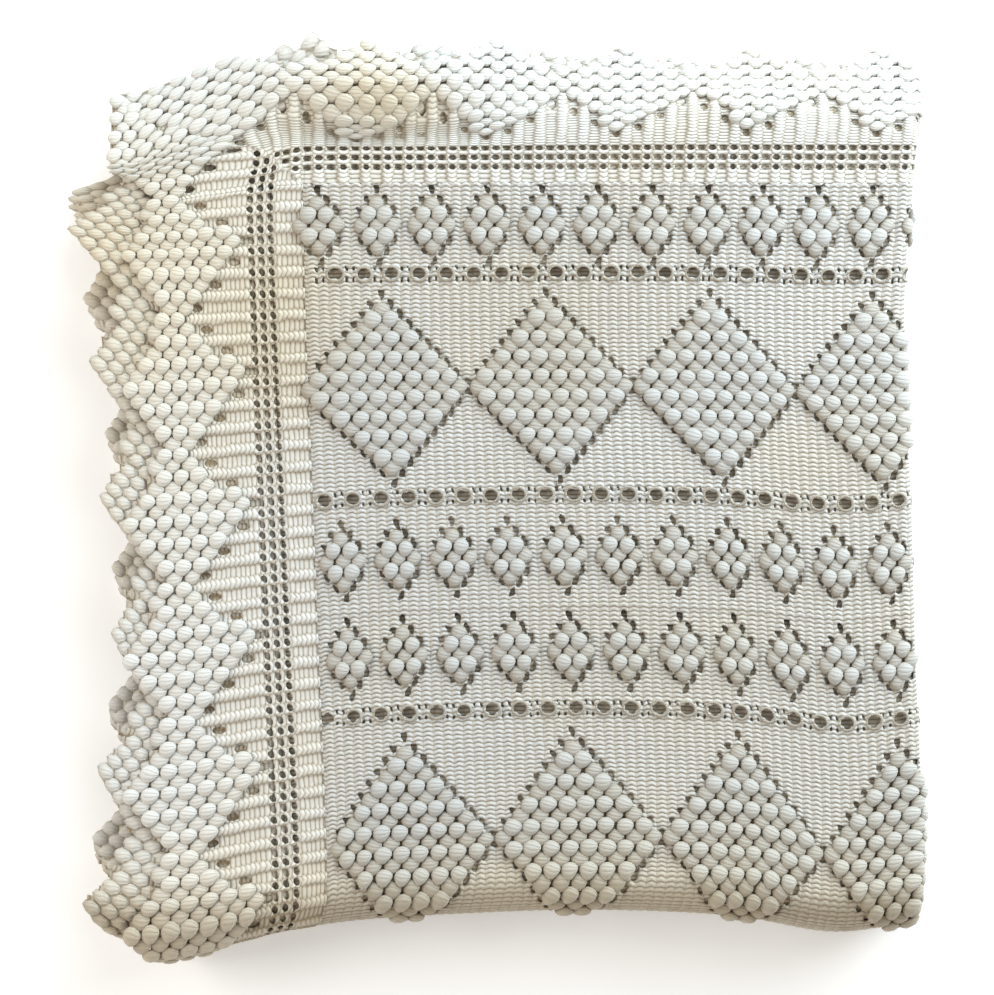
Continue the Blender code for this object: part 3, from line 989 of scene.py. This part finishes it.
BORDER_COTTON = border_cotton()
FINE_IN = 0.00175         # from cut to cut in the ribs and the mesh, in from the edge,
FINE_ALONG = 0.00150      # and along it
COARSE_IN = 0.0075        # and elsewhere
COARSE_ALONG = 0.0076
GRID_GAP = 0.001          # cuts closer than this to the end of their grid are left out
work = bmesh.new()
fine_v = even(FACE_BAND, BORDER, FINE_IN)
add_flat(work, fine_v, even(BORDER, FACE_DOWN, FINE_ALONG))
add_flat(work, even(BORDER, FACE_ACROSS, FINE_ALONG), fine_v)
add_flat(work, fine_v, fine_v)
open_holes(work, border_holes())
coarse_v = even(0, FACE_BAND, COARSE_IN)
add_flat(work, coarse_v, even(0, FACE_DOWN, COARSE_ALONG))
add_flat(work, even(FACE_BAND, FACE_ACROSS, COARSE_ALONG), coarse_v)
side_v = coarse_v + [0.066, 0.090, BORDER]
far_x = [WIDTH - v for v in reversed(side_v)]
far_y = [LENGTH - v for v in reversed(side_v)]
down = cuts(DOWN, STACK / 2, COARSE_ALONG, 0, LENGTH)
across = cuts(ACROSS, 0, COARSE_ALONG, 0, WIDTH)
add_flat(work, side_v, [FACE_DOWN] + [mark for mark in down if mark > FACE_DOWN + GRID_GAP])
add_flat(work, [FACE_ACROSS] + [mark for mark in across if mark > FACE_ACROSS + GRID_GAP], side_v)
add_flat(work, far_x, [BORDER] + [mark for mark in down if mark > BORDER + GRID_GAP])
inner = [mark for mark in across if BORDER + GRID_GAP < mark < WIDTH - BORDER - GRID_GAP]
add_flat(work, [BORDER] + inner + [WIDTH - BORDER], far_y)
bmesh.ops.delete(work, geom=[face for face in work.faces if outside(face)], context="FACES")
border = lay_down("worked_border", work, border_shape, BORDER_COTTON)
thicken(border)
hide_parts("border")


# ---------------------------------------------------------------------------------------------
# The bobbles of the border: the same puffs, in a zigzag of diamonds along all four edges.
# ---------------------------------------------------------------------------------------------
MORE_ROWS = 6             # rows beyond the tips' own, because the first tip lies off the edge
LINE_SLACK = 0.001


def edge_bobbles(side):
    """Places along and in from one edge for every bobble of its zigzag, and its row."""
    one = side.length / side.tips / TIP_ROWS
    for index in range(round(side.length / one) + MORE_ROWS):
        u = side.shift + (index + 0.5) * one
        share = from_tip(side, u)
        v = EDGE_START + (EDGE_PITCH / 2 if index % 2 else 0)
        while v < inner_line(share) - LINE_SLACK:
            if v > outer_line(share) - LINE_SLACK and v <= u <= side.length - v:
                yield u, v, index
            v += EDGE_PITCH


def edge_bobble_shape(flat):
    """Bobbles of the border lie more open to the light than those of the field."""
    deep = ramp(flat[:, 2], Span(0.0032, -0.0034), most=0.6)
    return flat, flat[:, :2], deep


def under_bobble_shape(flat):
    """Bobbles of the layers below are in shade all round, where they meet the cloth."""
    deep = 0.75 - ramp(abs(flat[:, 2] - EDGE_UNDER_Z), Span(0, 0.0019), most=0.70)
    return flat, flat[:, :2], deep


def bobble_list():
    """Each bobble of the four edges: its place on the cloth, its place in, and its row."""
    for u, v, index in edge_bobbles(SIDE_DOWN):
        yield v, u, v, index
        yield WIDTH - v, u, v, index
    for u, v, index in edge_bobbles(SIDE_ACROSS):
        yield u, v, v, index
        yield u, LENGTH - v, v, index


# The border's own cream, painted a little darker so that the raised bobbles are shaded
SHADED_EDGE_BOBBLE_CREAM = (0.71, 0.705, 0.675, 1)
EDGE_BOBBLE_COTTON = bobble_cotton("border_bobble_cotton", SHADED_EDGE_BOBBLE_CREAM)
EDGE_PROUD = (0.0060, 0.0060, 0.0030)
EDGE_SUNK = (0.0060, 0.0058, 0.0022)
EDGE_PROUD_Z = 0.0018
EDGE_SUNK_Z = 0.0008
EDGE_UNDER = (0.0066, 0.0064, 0.0024)
EDGE_UNDER_Z = -0.0007
SHOWN = 0.056             # of the layers below, only the edges this far in can be seen
EDGE_UNDERSIDE = Span(0.55, 1.25)
face = bmesh.new()
under = bmesh.new()
for x, y, v, index in bobble_list():
    proud = index % 2 == 0
    if x < FACE_ACROSS and y < FACE_DOWN:
        z, size = (EDGE_PROUD_Z, EDGE_PROUD) if proud else (EDGE_SUNK_Z, EDGE_SUNK)
        add_bobble(face, FINE_PUFF, x, y, z, size)
        continue
    lowest = x < UNDERSIDE_ACROSS and EDGE_UNDERSIDE.start < y < EDGE_UNDERSIDE.end
    if v < SHOWN or lowest:
        add_bobble(under, PLAIN_PUFF, x, y, EDGE_UNDER_Z, EDGE_UNDER)
border_face_bobbles = lay_down(
    "border_face_bobbles", face, edge_bobble_shape, EDGE_BOBBLE_COTTON)
border_under_bobbles = lay_down(
    "border_under_bobbles", under, under_bobble_shape, EDGE_BOBBLE_COTTON)
bpy.data.meshes.remove(RING)
bpy.data.meshes.remove(FINE_PUFF)
bpy.data.meshes.remove(PLAIN_PUFF)


# ---------------------------------------------------------------------------------------------
# The studio: a plain white floor that glows a little, a soft cool light from beyond the top
# edge, weaker ones from both sides, a warm surrounding, and the camera straight above.
# ---------------------------------------------------------------------------------------------
FLOOR_HALF = 6
work = bmesh.new()
bmesh.ops.create_grid(work, x_segments=1, y_segments=1, size=FLOOR_HALF)
mesh = bpy.data.meshes.new("floor")
work.to_mesh(mesh)
work.free()
floor = bpy.data.objects.new("floor", mesh)
bpy.context.scene.collection.objects.link(floor)
pale = bpy.data.materials.new("floor_white")
pale.use_nodes = True
pale_shader = pale.node_tree.nodes["Principled BSDF"]
pale_shader.inputs["Base Color"].default_value = (0.95, 0.95, 0.95, 1)
pale_shader.inputs["Roughness"].default_value = 0.9
pale_shader.inputs["Emission Color"].default_value = (1, 1, 1, 1)
pale_shader.inputs["Emission Strength"].default_value = 0.22
mesh.materials.append(pale)


def soft_light(name, place, size, power, colour):
    """A square soft light that faces the middle of the pile."""
    lamp = bpy.data.lights.new(name, "AREA")
    lamp.shape = "SQUARE"
    lamp.size = size
    lamp.energy = power
    lamp.color = colour
    light = bpy.data.objects.new(name, lamp)
    light.location = place
    light.rotation_euler = Vector(place).to_track_quat("Z", "Y").to_euler()
    bpy.context.scene.collection.objects.link(light)


soft_light("window", (0.60, 1.70, 0.88), 1.1, 42, (0.78, 0.91, 1.0))
soft_light("right", (1.25, 0.45, 0.62), 0.8, 18, (0.86, 0.95, 1.0))
soft_light("left", (-1.30, 0.05, 0.75), 0.8, 12, (1.0, 0.96, 0.90))
soft_light("near", (0.10, -1.50, 0.80), 0.9, 5.0, (1.0, 0.95, 0.88))

world = bpy.data.worlds.new("studio")
world.use_nodes = True
world.node_tree.nodes["Background"].inputs["Color"].default_value = (1.0, 0.95, 0.88, 1)
world.node_tree.nodes["Background"].inputs["Strength"].default_value = 0.32
bpy.context.scene.world = world
bpy.context.scene.view_settings.view_transform = "Standard"

VIEW_WIDTH = 0.6958       # what the camera sees, at the face of the pile
VIEW_MIDDLE = (-0.00845, 0.0022)
HEIGHT = 2.4
SENSOR = 36
camera_data = bpy.data.cameras.new("camera")
camera_data.sensor_width = SENSOR
camera_data.lens = SENSOR * HEIGHT / VIEW_WIDTH
camera = bpy.data.objects.new("camera", camera_data)
camera.location = (*VIEW_MIDDLE, HEIGHT + 4 * STACK)
bpy.context.scene.collection.objects.link(camera)
bpy.context.scene.camera = camera
